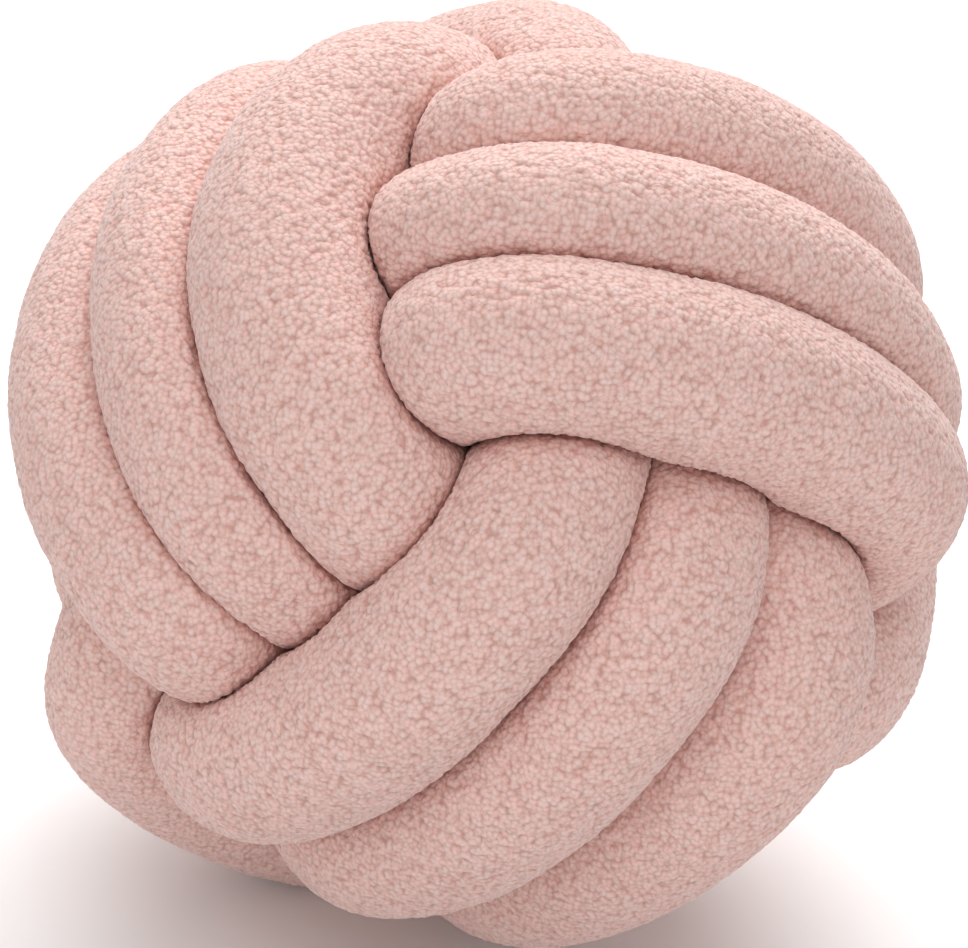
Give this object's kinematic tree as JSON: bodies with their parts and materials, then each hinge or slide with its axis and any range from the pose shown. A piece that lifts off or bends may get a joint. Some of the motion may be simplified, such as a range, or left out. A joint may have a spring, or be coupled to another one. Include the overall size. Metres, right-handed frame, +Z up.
{
  "type": "knot ball cushion",
  "caption": "Round scatter cushion wound from a long stuffed tube of curly fleece in a monkey's fist knot.",
  "frame": {"origin": "middle of the box's underside, on the surface the ball lies on", "axes": "+Z up, with the resting spot facing -Z; -Y towards the side that the picture shows; +X to the right from there"},
  "size_m": [0.2962, 0.2952, 0.2967],
  "materials": {
    "pink_fleece": "pale pink curly fleece, matt, with a soft sheen"
  },
  "bodies": {
    "root": {"stuffed_tube": "pink_fleece"}
  },
  "joints": []
}
